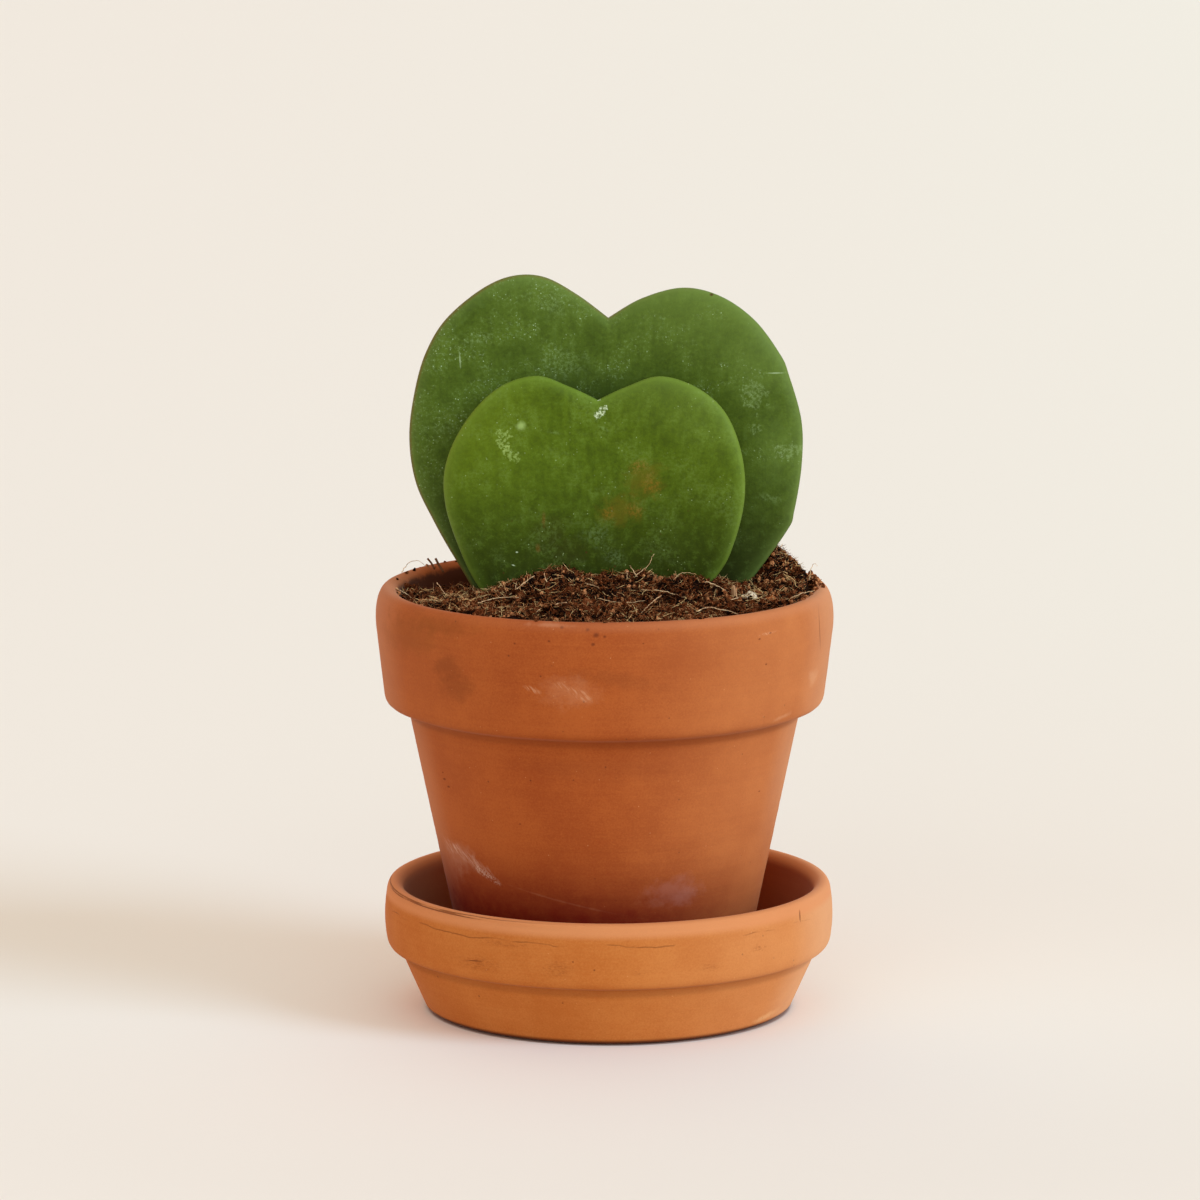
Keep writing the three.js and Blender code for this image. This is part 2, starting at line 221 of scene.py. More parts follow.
class Recipe(Nodes):
    """A Geometry Nodes tree with named inputs, which is run to leave a plain mesh."""

    def __init__(self, name, **inputs):
        super().__init__(bpy.data.node_groups.new(name, "GeometryNodeTree"))
        sockets = self.tree.interface
        sockets.new_socket("Geometry", in_out="OUTPUT", socket_type="NodeSocketGeometry")
        sockets.new_socket("Geometry", in_out="INPUT", socket_type="NodeSocketGeometry")
        self.keys = {}
        for label, kind in inputs.items():
            socket = sockets.new_socket(label, in_out="INPUT", socket_type="NodeSocket" + kind)
            self.keys[label] = socket.identifier

    def given(self, label="Geometry"):
        return self.add("NodeGroupInput", output=label)

    def end(self, geometry, material):
        """Ends the tree in real geometry that wears one material."""
        real = self.add("GeometryNodeRealizeInstances", {"Geometry": geometry})
        worn = self.add("GeometryNodeSetMaterial", {"Geometry": real, "Material": material})
        self.add("NodeGroupOutput", {"Geometry": worn})

    def made(self, name, source, **values):
        """Runs the tree on a source, which is used up, and returns the finished piece."""
        modifier = source.modifiers.new(name, "NODES")
        modifier.node_group = self.tree
        for label, value in values.items():
            modifier[self.keys[label]] = value
        graph = bpy.context.evaluated_depsgraph_get()
        mesh = bpy.data.meshes.new_from_object(
            source.evaluated_get(graph), preserve_all_data_layers=True, depsgraph=graph
        )
        source.modifiers.remove(modifier)
        bpy.data.objects.remove(source)
        return added(name, mesh)


def paint(red, green, blue):
    """A colour as the eye sees it, in parts of 255, for a shader."""
    def light(part):
        share = part / 255
        return share / 12.92 if share <= 0.04045 else ((share + 0.055) / 1.055) ** 2.4
    return (light(red), light(green), light(blue), 1)


def shape(name, points, faces=()):
    """A new object of points in millimetres."""
    mesh = bpy.data.meshes.new(name)
    mesh.from_pydata((np.asarray(points, float) * MM).tolist(), (), faces)
    mesh.update()
    return added(name, mesh)


def profile(name, step, start, *runs):
    """An outline in radius and height. A run is its end point, after any control points."""
    points = [np.array(start, float)]
    for run in runs:
        knots = np.array([points[-1], *run], float)
        length = np.linalg.norm(np.diff(knots, axis=0), axis=1).sum()
        count = max(1, round(length / step))
        for t in np.arange(1, count + 1) / count:
            level = knots
            while len(level) > 1:
                level = (1 - t) * level[:-1] + t * level[1:]
            points.append(level[0])
    return shape(name, [(r, 0, z) for r, z in points])


# One turn of the wheel: the profile is swept round the Z axis, a little out of round and with
# the fine lines that the potter's fingers leave.
SEAM = 0.001  # points closer than this are joined
wheel = Recipe("turned clay", Sides="Int", Wobble="Float", Ridges="Float", Seed="Float", Clay="Material")
rows = wheel.add("GeometryNodeAttributeDomainSize", {"Geometry": wheel.given()}, component="MESH")
sheet = wheel.add("GeometryNodeMeshGrid", {
    "Size X": 1, "Size Y": 1, "Vertices X": wheel.given("Sides") + 1, "Vertices Y": rows,
})
spot = wheel.add("GeometryNodeInputPosition")
turn = (spot.along(0) + 0.5) * (2 * math.pi)
row = ((spot.along(1) + 0.5) * (rows - 1)).maths("ROUND")
drawn = wheel.add("GeometryNodeSampleIndex", {
    "Geometry": wheel.given(), "Value": spot, "Index": row,
}, data_type="FLOAT_VECTOR", domain="POINT")
radius, height = drawn.along(0), drawn.along(2)
cosine, sine = turn.maths("COSINE"), turn.maths("SINE")
around = wheel.vector(cosine, sine, height * 12 + wheel.given("Seed"))
finger = wheel.vector(cosine * 0.5, sine * 0.5, height * 520 + wheel.given("Seed"))
swell = (wheel.noise(around, 1.1) - 0.5) * wheel.given("Wobble")
ridge = (wheel.noise(finger, 1, 3) - 0.5) * wheel.given("Ridges")
radius += (swell + ridge) * radius.rise(0.004, 0.02)
turned = wheel.vector(radius * cosine, radius * sine, height)
swept = wheel.add("GeometryNodeSetPosition", {"Geometry": sheet, "Position": turned})
closed = wheel.add("GeometryNodeMergeByDistance", {"Geometry": swept, "Distance": SEAM * MM})
smooth = wheel.add("GeometryNodeSetShadeSmooth", {"Geometry": closed})
wheel.end(smooth, wheel.given("Clay"))

SAUCER_X = 1.0  # the pot stands this far left of the saucer's middle
saucer_outline = profile(
    "saucer_outline", 0.5, (0, 0),
    [(41.6, 0)], [(43.5, 0.05), (44.6, 1.3)], [(49.7, 12.8)], [(50.3, 14.8), (51.2, 15.1)],
    [(52.2, 15.4)], [(53.6, 15.7), (53.9, 18)], [(54.7, 23), (53.9, 28.4)],
    [(53.7, 30.4), (53.2, 31.3), (51.9, 31.3)], [(50.7, 31.3), (49.8, 30.2), (49.6, 28.6)],
    [(45.4, 11)], [(44.3, 6.1), (40.6, 6)], [(0, 6)],
)

DUSTY = {"Sheen Weight": 0.06, "Sheen Roughness": 0.35, "Sheen Tint": (1.0, 0.86, 0.7, 1)}


def fired_clay(name, light, dark):
    """Unglazed clay: cloudy, with faint turning lines, fine grain, dark specks and pin holes."""
    clay = Finish(name, dark)
    place = clay.place()
    clouds = clay.noise(place, 0.05, 5, 0.62)
    lines = clay.noise(clay.stretched(place, 0.02, 0.02, 0.9), 1, 4, 0.6)
    grain = clay.noise(place, 2.2, 3, 0.7)
    mixed = clouds * 0.45 + lines * 0.13 + grain * 0.42
    clay.over(light, mixed.rise(0.36, 0.64))
    specks = clay.dots(place, 0.4, 0.13, 0.08)
    clay.over((96, 44, 24), specks * 0.6)
    clay.over((214, 150, 100), clay.dots(place, 0.75, 0.14, 0.06) * 0.4)
    return clay, place, grain * 0.35 + lines * 0.65 - specks * 0.8, grain, clouds


clay, place, height, grain, clouds = fired_clay("saucer_clay", (192, 113, 54), (178, 96, 40))
across, up, out = place.along(0), place.along(2), clay.out_from(SAUCER_X, place)
facing = place.along(1).fall(-20, -10)
clay.faced(across, up, clay.noise(place, 0.9, 3, 0.65) - 0.5, facing, 0.5)
# The right side and its edge are made paler: a painted highlight where the lamp from the right falls.
painted_side_light = across.rise(0, 56) * (clouds * 0.8 + 0.6)
clay.over((224, 158, 102), painted_side_light * 0.38)
clay.over((232, 188, 146), (across / out).rise(0.8, 1) * 0.3)
clay.over((208, 134, 86), up.rise(27.2, 29.2) * 0.75)
ripple = clay.noise(clay.stretched(place, 1, 1, 4.4), 1, 3, 0.7)
scuffs = 0
for middle, size in [
    ((-30, 20), (7.5, 2.6)), ((-11, 20.6), (5, 3)), ((8, 20), (3, 1.2)), ((25, 20.2), (3, 1.4)),
    ((36.5, 23), (2, 1.2)), ((-24, 25.6), (8, 1)),
]:
    scuffs = clay.mark(middle, size, ragged=0.6) + scuffs
scuffs = scuffs * ripple.rise(0.5, 0.58)
clay.over((146, 72, 30), scuffs * 0.4)
wander = clay.noise(clay.stretched(place, 0.06, 0.06, 0), 1, 4, 0.6)
seam = (up - 24.6 - 3.6 * wander).maths("ABSOLUTE").fall(0.04, 0.2) * clouds.rise(0.46, 0.56)
crease = (out - 52.75 - wander * 0.4).maths("ABSOLUTE").fall(0.02, 0.13) * up.rise(29.4, 30.2)
crease = crease * across.fall(-36, -6)
slits = clay.mark((46.6, 28), (0.22, 2), 4, 0.3) + clay.mark((-30.6, 20.6), (2.4, 0.2), 6, 0.3)
cracks = seam * facing * 0.6 + slits
# The hairline cracks are darkened as real cracks; the dark line along the crease of the lip is painted
# shade.
clay.over((110, 52, 24), (cracks + crease).maths("MINIMUM", 1) * 0.7)
clay.marks((218, 164, 110), 0.6, ((38.5, 2.6), (4.5, 1), 12))
# Under the collar the clay is darkened: painted shade.
painted_collar_shade = up.band(13.6, 14.8, 1.4) * out.rise(49, 50)
clay.over((122, 62, 30), painted_collar_shade * 0.3)
# The lowest edge is darkened: painted contact shade where the saucer meets the floor.
clay.over((84, 32, 10), up.fall(0.7, 1.8) * 0.85)
# Inside the dish, all but the far left is darker and redder: painted shade round the pot.
hollow = (out - 0.27 * (up - 11)).fall(46, 47.6) * up.rise(3, 5) * up.fall(28, 30.6)
clay.over((136, 42, 20), hollow * across.rise(-52, -30) * 0.75)
clay.over((150, 104, 84), hollow * across.fall(-48, -34) * 0.6)
height -= cracks * 2.5 + crease * 3 + scuffs * 0.4
saucer_clay = clay.finish(grain * 0.12 + 0.72, 0.04, height, 0.07, **DUSTY)

saucer = wheel.made(
    "saucer_turned", saucer_outline,
    Sides=300, Wobble=0.9 * MM, Ridges=0.1 * MM, Seed=3.0, Clay=saucer_clay,
)


def places(piece):
    """Where a piece's points are, in millimetres."""
    flat = np.empty(3 * len(piece.data.vertices))
    piece.data.vertices.foreach_get("co", flat)
    return flat.reshape(-1, 3) / MM


def put(piece, points):
    piece.data.vertices.foreach_set("co", (points * MM).ravel())
    piece.data.update()


# The fold of slip leaves a crease in the outer edge of the lip, deepest on the left.
points = places(saucer)
angle = np.arctan2(points[:, 1], points[:, 0])
reach = np.hypot(points[:, 0], points[:, 1])
level = 30.3 + 0.25 * np.sin(2 * angle + 1) + 0.12 * np.sin(7 * angle)
deepest = np.exp(-(((angle + 2.45) / 0.95) ** 2)) + 0.25 * np.exp(-(((angle + 0.6) / 0.5) ** 2))
cut = 0.55 * deepest * np.exp(-(((points[:, 2] - level) / 0.3) ** 2)) * (reach > 51.9)
points[:, :2] *= (1 - cut / np.maximum(reach, 1))[:, None]
points[:, 0] += SAUCER_X
put(saucer, points)
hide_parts("saucer")
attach(saucer, "root")


# Pot: a tapered cup of reddish clay with a tall collar, thrown in one piece and fired unglazed.
# It stands on the saucer's floor. Watering has left pale lime and dark stains on it.
POT_CREST = (52.3, 103.2)  # radius and height, like the others
POT_LIP_INNER = (49, 98.6)
POT_BEND_Z = 17.5  # where the inner wall starts to bend into the floor
POT_CORNER = (28.2, 13)
POT_FLOOR = (23.7, 13)


def wall_radius(z):
    """Radius of the pot's inner wall at a height."""
    slope = (POT_LIP_INNER[0] - POT_CORNER[0]) / (POT_LIP_INNER[1] - POT_CORNER[1])
    return POT_CORNER[0] + (z - POT_CORNER[1]) * slope


pot_outline = profile(
    "pot_outline", 0.8, (6, 6),
    [(32.1, 6)], [(33.1, 6), (33.3, 7.2)], [(46.8, 71.2)], [(47.4, 73.8), (49.4, 74.3)],
    [(51.2, 74.9)], [(52.8, 75.4), (53.1, 77.2)], [(55.05, 93.4)],
    [(55.55, 97.5), (54.9, 103.2), POT_CREST], [(50.2, 103.2), (49.5, 101.6), POT_LIP_INNER],
    [(wall_radius(POT_BEND_Z), POT_BEND_Z)], [POT_CORNER, POT_FLOOR], [(6, 13)], [(6, 6)],
)

clay, place, height, grain, clouds = fired_clay("pot_clay", (168, 84, 37), (150, 68, 29))
across, up, out = place.along(0), place.along(2), clay.out_from(0, place)
rough = clay.noise(place, 0.3, 4, 0.65) - 0.5
clay.faced(across, up, rough, place.along(1).fall(-20, -10), 0.75)
# The right side, the left side and both edges are made paler: painted highlights, strongest on the right
# where the lamp falls.
painted_side_light = across.rise(-4, 54) * (clouds * 0.8 + 0.6)
clay.over((216, 144, 88), painted_side_light * 0.38)
clay.over((196, 118, 68), across.fall(-54, -16) * 0.26)
clay.over((226, 182, 142), (across / out).rise(0.84, 1) * up.rise(36, 64) * 0.2)
clay.over((206, 150, 112), (across / out).fall(-1, -0.86) * 0.25)
slant = clay.add("ShaderNodeVectorRotate", {"Vector": place, "Angle": -0.9}, rotation_type="Y_AXIS")
brushed = clay.noise(clay.stretched(slant, 0.25, 0.25, 2.4), 1, 3, 0.65).rise(0.42, 0.6)
clay.marks((100, 50, 24), 0.28, ((-34.6, 85.8), (6, 5)), ((-37, 90.6), (5, 4), 20))
clay.marks((112, 64, 26), 0.22, ((-46, 96), (12, 6), 10), ((-40, 100), (14, 3)))
clay.marks((110, 52, 26), 0.2, ((2, 90), (16, 3), -8))
clay.marks(
    (214, 156, 116), brushed * 0.45, ((-6, 86.6), (4.4, 1.5), -24), ((-10, 88.2), (2.6, 1), -30),
    ((-17, 87.2), (3, 0.9), -20), ((38, 98.4), (3, 0.5), 4),
)
clay.marks((206, 140, 100), 0.2, ((-8, 87), (9, 5)))
clay.marks((224, 176, 134), 0.18, ((49.6, 84.6), (1.5, 2.8)), ((42, 77), (2.8, 0.8), 14))
clay.marks((186, 128, 100), 0.45, ((-35, 41), (6, 4.5), -30), ((-37, 37), (4, 5)))
clay.marks(
    (214, 172, 146), brushed * 0.45, ((-31.4, 40.6), (8.5, 1.6), -28), ((-37, 42.6), (3, 2), -20),
)
clay.marks((224, 186, 160), grain.rise(0.46, 0.58) * 0.75, ((-27.8, 37.8), (4.4, 1.2), -30))
clay.marks((178, 116, 98), 0.42, ((16, 35.6), (9, 4.4), 12), ((19, 34), (4, 3)))
clay.marks((190, 116, 76), 0.5, ((-7, 32.8), (19, 0.35), -12.5))
# A dark band under the collar: painted shade.
clay.marks((124, 56, 28), 0.18, ((-2, 67), (26, 4)))
clay.marks((206, 148, 112), 0.3, ((-12.7, 102.6), (6, 0.8)))
clay.marks((84, 38, 20), 0.5, ((51.2, 96), (0.14, 7), 3), ragged=0.2)
specks = 0
for x, z, size in [
    (-38.2, 60.2, 0.4), (-37.2, 58.5, 0.35), (-38.6, 61.8, 0.25), (36.9, 57.4, 0.3), (-20, 52.3, 0.25),
    (-10, 102.2, 0.5), (-4, 101.8, 0.6), (-2, 100.6, 0.8), (-2.7, 98.5, 0.5), (0, 100.3, 0.5),
    (-13, 99, 0.35), (38, 91, 0.35), (39, 98.4, 0.35), (36.4, 97.4, 0.3), (-21, 98, 0.35), (9, 98.6, 0.3),
]:
    specks = clay.mark((x, z), (size * 1.3, size), 10, 0.4) + specks
clay.over((98, 42, 22), specks * 0.7)
# The top of the lip is made paler: painted highlight.
clay.over((206, 134, 92), up.rise(100.4, 102.6) * across.rise(-60, 40) * 0.3)
clay.over((110, 22, 12), up.fall(26, 47) * across.fall(0, 52) * (0.9 + 0.6 * rough))
# A dark line just under the collar: painted shade.
clay.over((110, 48, 22), up.band(72.8, 73.6, 1.2) * 0.3)
# The inner wall above the soil is darkened: partly a soil stain, partly painted shade under the rim.
damp_and_shade = (up + 6 * rough).fall(101, 103.6) * out.fall(49.6, 50.6) * up.rise(88, 92)
clay.over((62, 30, 20), damp_and_shade * 0.9)
pot_clay = clay.finish(grain * 0.12 + 0.7, 0.04, height, 0.07, **DUSTY)

pot = wheel.made(
    "pot_turned", pot_outline,
    Sides=280, Wobble=0.8 * MM, Ridges=0.14 * MM, Seed=11.0, Clay=pot_clay,
)
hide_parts("pot")
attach(pot, "root")


# Soil: coir, the brown husk of coconuts, in crumbs and short hairs. It fills the pot, is heaped
# round the leaves, and has spilled over the rim on the right. It lies loose.
SOIL_LEVEL = 101.3
SOIL_LUMPS = [  # middle X and Y, height, spread along X and Y
    (-25, -8, 2.9, 7, 9), (-13, -7, 6.7, 8, 9), (4, -7, 5.6, 10, 10), (21, -7, 5.4, 10, 10),
    (-10, -32, 1.2, 13, 8), (40.5, 14, 6.4, 4.5, 8), (45, 9, 3.2, 9.5, 15), (24, 33, 2, 13, 10),
    (-36, 27, -5.4, 14, 14), (-4, 38, -2, 16, 9),
]
SOIL_CLODS = [(7.3, 2.4), (3.7, 1.7)]  # width of a clod and how high it stands
SOIL_FINE = SOIL_CLODS + [(1.9, 1.3), (1, 0.7)]


def relief(x, y):
    """Smooth random relief between -0.5 and 0.5, with one rise or dip to a cell."""
    i, j = np.floor(x), np.floor(y)
    s, t = x - i, y - j
    s, t = s * s * (3 - 2 * s), t * t * (3 - 2 * t)

    def cell(a, b):
        mixed = np.sin(a * 127.1 + b * 311.7) * 43758.5453
        return mixed - np.floor(mixed)

    near = cell(i, j) * (1 - s) + cell(i + 1, j) * s
    far = cell(i, j + 1) * (1 - s) + cell(i + 1, j + 1) * s
    return near * (1 - t) + far * t - 0.5


def soil_height(x, y, clods=SOIL_CLODS):
    z = np.full_like(x, SOIL_LEVEL)
    for middle_x, middle_y, rise, spread_x, spread_y in SOIL_LUMPS:
        z += rise * np.exp(-(((x - middle_x) / spread_x) ** 2 + ((y - middle_y) / spread_y) ** 2))
    for size, rise in clods:
        z += rise * relief(x / size, y / size)
    return z


BED_SIDES = 400
BED_RINGS = 100
BED_GAP = 0.1
turns = np.arange(BED_SIDES) * (2 * math.pi / BED_SIDES)
circle = np.stack([np.cos(turns), np.sin(turns)], 1)
near_wall = circle * (wall_radius(SOIL_LEVEL) - BED_GAP)
wall = np.minimum(wall_radius(soil_height(*near_wall.T)), POT_LIP_INNER[0]) - BED_GAP
rings = []
for share in np.arange(1, BED_RINGS + 1) / BED_RINGS:
    flat = circle * (wall * share)[:, None]
    top = soil_height(*flat.T, SOIL_FINE)
    rings.append(np.column_stack([flat, top]))
bed_floor = POT_FLOOR[1] + BED_GAP
for radius, z in [(wall_radius(POT_BEND_Z) - BED_GAP, POT_BEND_Z), (POT_FLOOR[0], bed_floor)]:
    rings.append(np.column_stack([circle * radius, np.full(BED_SIDES, z)]))


def skin(name, first, rings, last):
    """A closed skin over rings of equally many points, from one end point to the other."""
    sides = len(rings[0])
    points = np.vstack([[first], *rings, [last]])
    turn = np.arange(sides)
    after = (turn + 1) % sides
    end = len(points) - 1
    faces = [(0, 1 + a, 1 + b) for a, b in zip(turn, after)]
    for start in range(1, end - sides, sides):
        low, high = start + turn, start + after
        faces += np.stack([low, low + sides, high + sides, high], 1).tolist()
    faces += [(end - sides + a, end, end - sides + b) for a, b in zip(turn, after)]
    piece = shape(name, points, faces)
    piece.data.polygons.foreach_set("use_smooth", np.ones(len(faces), bool))
    return piece


centre = soil_height(np.zeros(1), np.zeros(1), SOIL_FINE)[0]
bed = skin("soil_bed", (0, 0, centre), rings, (0, 0, bed_floor))

# The bed runs from nearly black to dark brown: painted shade for the deep gaps between crumbs and hairs,
# over the coir's own dark colour.
coir = Finish("coir_bed", (8, 2, 1))
place = coir.place()
coarse, fine = coir.noise(place, 0.5, 4, 0.7), coir.noise(place, 2.4, 3, 0.7)
coir.over((50, 24, 10), (coarse * 0.5 + fine * 0.5).rise(0.42, 0.7))
bed.data.materials.append(coir.finish(0.95, 0.05, coarse + fine * 0.6, 0.8))
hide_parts("potting_soil")
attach(bed, "root")

# Loose crumbs: rough little lumps, each with a tone of its own.
crumb = Recipe("soil crumbs", Size="Float", Detail="Int", Rough="Float", Seed="Int", Soil="Material")


def chance(recipe, low, high, salt):
    """A random number or vector for each point, by the recipe's Seed."""
    kind, first = ("FLOAT_VECTOR", 0) if isinstance(low, tuple) else ("FLOAT", 1)
    stops = {2 * first: low, 2 * first + 1: high, "Seed": recipe.given("Seed") + salt}
    return recipe.add("FunctionNodeRandomValue", stops, first, data_type=kind)


def toned(recipe, geometry, salt):
    """Writes a random tone on each instance, up to the one written on its point."""
    lit = recipe.add("GeometryNodeInputNamedAttribute", {"Name": "lit"}, data_type="FLOAT")
    tone = {"Geometry": geometry, "Name": "tone", "Value": chance(recipe, 0.0, 1.0, salt) * lit}
    return recipe.add("GeometryNodeStoreNamedAttribute", tone, data_type="FLOAT", domain="INSTANCE")


def pushed(recipe, geometry, spot, scale, detail, rough, far):
    """Pushes each point at random, up to half as far as given to each side."""
    stray = recipe.shifted(recipe.noise(spot, scale, detail, rough, "Color"), (-0.5, -0.5, -0.5))
    push = recipe.scaled(stray, recipe.given(far))
    return recipe.add("GeometryNodeSetPosition", {"Geometry": geometry, "Offset": push})


ball = crumb.add("GeometryNodeMeshIcoSphere", {
    "Radius": 1, "Subdivisions": crumb.given("Detail"),
})
bulk = chance(crumb, 0.35, 1.0, 1)
size = bulk * bulk * crumb.given("Size")
squash = crumb.scaled(chance(crumb, (0.5, 0.5, 0.4), (1.2, 1.2, 0.9), 2), size)
lumps = crumb.add("GeometryNodeInstanceOnPoints", {
    "Points": crumb.given(), "Instance": ball, "Scale": squash,
    "Rotation": chance(crumb, (0.0, 0.0, 0.0), (6.3, 6.3, 6.3), 3),
})
real = crumb.add("GeometryNodeRealizeInstances", {"Geometry": toned(crumb, lumps, 4)})
spot = crumb.add("GeometryNodeInputPosition")
crumb.end(pushed(crumb, real, spot, 1100, 3, 0.7, "Rough"), crumb.given("Soil"))

# Loose hairs: thin, bent, tapered to both ends and lying every way. The hairs lie over the whole
# soil, the strands are its longest, the fuzz is short, and the lint is the finest.
hair = Recipe(
    "coir hairs", Length="Float", Thickness="Float", Curl="Float", Lift="Float", Seed="Int",
    Coir="Material",
)
straight = hair.add("GeometryNodeCurvePrimitiveLine", {"Start": (-0.5, 0, 0), "End": (0.5, 0, 0)})
line = hair.add("GeometryNodeResampleCurve", {"Curve": straight, "Count": 5})
lift = hair.given("Lift")
aim = hair.vector(0.0, chance(hair, -1.0, 1.0, 1) * lift, chance(hair, 0.0, 6.3, 2))
long = chance(hair, 0.3, 1.0, 3)
hairs = hair.add("GeometryNodeInstanceOnPoints", {
    "Points": hair.given(), "Instance": line, "Rotation": aim,
    "Scale": hair.scaled((1, 1, 1), long * hair.given("Length")),
})
real = hair.add("GeometryNodeRealizeInstances", {"Geometry": toned(hair, hairs, 4)})
tone = hair.add("GeometryNodeInputNamedAttribute", {"Name": "tone"}, data_type="FLOAT")
spot = hair.add("GeometryNodeInputPosition")
field = hair.shifted(hair.scaled(spot, 260), hair.vector(tone * 60, tone * 90, 0.0))
bent = pushed(hair, real, field, 1, 1, 0.5, "Curl")
end_to_end = hair.add("GeometryNodeSplineParameter")
off_middle = (end_to_end * 2 - 1).maths("ABSOLUTE")
girth = (1 - off_middle * off_middle * 0.75) * hair.given("Thickness") * (0.5 + tone * 0.5)
section = hair.add("GeometryNodeCurvePrimitiveCircle", {"Resolution": 3, "Radius": 1})
solid = hair.add("GeometryNodeCurveToMesh", {
    "Curve": bent, "Profile Curve": section, "Scale": girth, "Fill Caps": True,
})
hair.end(solid, hair.given("Coir"))


def coir_finish(name, dark, middle, light, tan_share, shine=0.0):
    """Matted coir: dark to light from one crumb or hair to the next, with fine lines on it."""
    coir = Finish(name, dark)
    place = coir.place()
    tone = coir.written("tone", "Fac")
    fine, swirl = coir.noise(place, 1.7, 3, 0.65), coir.noise(place, 1.1, 2, 0.5)
    mixed = tone * 0.7 + fine * 0.3
    coir.over(middle, mixed.rise(0.16, 0.5))
    coir.over(light, mixed.rise(0.72 - tan_share, 0.84 - tan_share))
    coir.over(light, (swirl - 0.5).maths("ABSOLUTE").fall(0.01, 0.05) * tone)
    coir.over(dark, (fine - 0.47).maths("ABSOLUTE").fall(0.01, 0.05) * 0.8)
    return coir.finish(0.95 - shine, shine, fine, 0.4)


clod_soil = coir_finish("coir_clods", (12, 2, 0), (92, 44, 22), (140, 80, 46), 0.04)
crumb_soil = coir_finish("coir_crumbs", (12, 2, 0), (108, 52, 25), (204, 134, 86), 0.12)
hair_soil = coir_finish("coir_hairs", (52, 16, 4), (158, 76, 30), (255, 208, 140), 0.1, 0.1)
lint_soil = coir_finish("coir_lint", (24, 6, 1), (130, 60, 26), (232, 160, 104), 0.04, 0.1)

GRAINS = [(34.8, -13, 2.7), (40, -13.6, 2.5), (31.2, -14.4, 1.3)]  # X, Y and the bare radius round it
DAMP_SHADE_MIDDLE = (-39, 24)  # dark soil at the back on the left: damp, and darkened with painted shade
DAMP_SHADE_SPREAD = (13, 17)
PATCH = 3.3  # how wide lighter and darker patches are
BARE_EDGE = 0.5  # next to the wall
LIP_BULGE = 0.16  # how fast the lip falls off from its crest
chances = np.random.default_rng(41)


def strewn(points, lit):
    """Points with the lightest tone that a crumb or hair has there, with painted shade in the gaps and
    over the damp soil.
    """
    piece = shape("points", points)
    tones = piece.data.attributes.new("lit", "FLOAT", "POINT")
    tones.data.foreach_set("value", lit)
    return piece


def scattered(count, sink, rise, reach=1.0):
    """Points strewn over the soil's surface, with painted light at the back and on the left."""
    share = reach * np.sqrt(chances.random(count))
    turn = chances.random(count) * 2 * math.pi
    edge = np.interp(turn, turns, wall, period=2 * math.pi) - BARE_EDGE
    x, y = share * edge * np.cos(turn), share * edge * np.sin(turn)
    lift = chances.uniform(-sink, rise, count)
    z = soil_height(x, y, SOIL_FINE) + lift
    from_damp_shade = (np.stack([x, y], 1) - DAMP_SHADE_MIDDLE) / DAMP_SHADE_SPREAD
    damp_and_shade = np.minimum(1, 1.7 * np.exp(-(from_damp_shade**2).sum(axis=1)))
    patch = np.clip(0.15 + 1.5 * (relief(x / PATCH + 7, y / PATCH) + 0.5), 0, 1)
    # Lower points get darker tones as painted shade in the gaps; raised adds painted light at the back
    # and on the left; the damp soil is darkened, partly with painted shade.
    raised = 1 + 0.25 * np.clip((y + 22) / 12, 0, 1) + 0.35 * np.clip((-20 - x) / 16, 0, 1)
    lit = (0.25 + 0.9 * patch * (lift + sink) / (sink + rise)) * raised * (1 - 0.85 * damp_and_shade)
    bare = np.any([np.hypot(x - a, y - b) < radius for a, b, radius in GRAINS], axis=0)
    kept = ~bare & (chances.random(count) > damp_and_shade * 0.8)
    return strewn(np.column_stack([x, y, z])[kept], lit[kept])


def on_lip(count, first_turn, last_turn, low, high):
    """Points on the crest of the pot's lip between two angles, from its inner to its outer side."""
    turn = np.radians(chances.uniform(first_turn, last_turn, count))
    out = chances.uniform(low, high, count)
    z = POT_CREST[1] - LIP_BULGE * (out - POT_CREST[0]) ** 2
    return np.column_stack([out * np.cos(turn), out * np.sin(turn), z])


clods = crumb.made(
    "soil_clods", scattered(2200, 0.8, 0.4),
    Size=1.25 * MM, Detail=2, Rough=2.1 * MM, Seed=3, Soil=clod_soil,
)
crumbs = crumb.made(
    "soil_crumbs", scattered(7500, 0.3, 0.7),
    Size=0.8 * MM, Detail=1, Rough=0.8 * MM, Seed=17, Soil=crumb_soil,
)
SPILLS = [  # how many crumbs, between which angles, and between which radii of the lip
    (60, -25, -3, 49.8, 51.2), (40, 26, 60, 49.8, 52), (14, 120, 170, 50.4, 52.6),
    (50, 180, 330, 49.6, 50.4), (14, -140, -60, 50.5, 52.5),
]
heap = on_lip(150, -3, 26, 49.6, 52.8)
heap += chances.uniform((-0.3, -0.3, 0), (0.3, 0.3, 0.5), heap.shape)
spill = np.vstack([heap, *[on_lip(*stretch) for stretch in SPILLS]])
spilled = crumb.made(
    "soil_spilled", strewn(spill, np.full(len(spill), 0.9)),
    Size=0.8 * MM, Detail=2, Rough=0.7 * MM, Seed=29, Soil=crumb_soil,
)
hairs = hair.made(
    "coir_hairs", scattered(7400, 0.1, 0.9),
    Length=4.2 * MM, Thickness=0.08 * MM, Curl=2.4 * MM, Lift=0.8, Seed=5, Coir=hair_soil,
)
strands = hair.made(
    "coir_strands", scattered(500, 0, 0.9, 0.95),
    Length=8 * MM, Thickness=0.1 * MM, Curl=3.4 * MM, Lift=0.4, Seed=8, Coir=hair_soil,
)
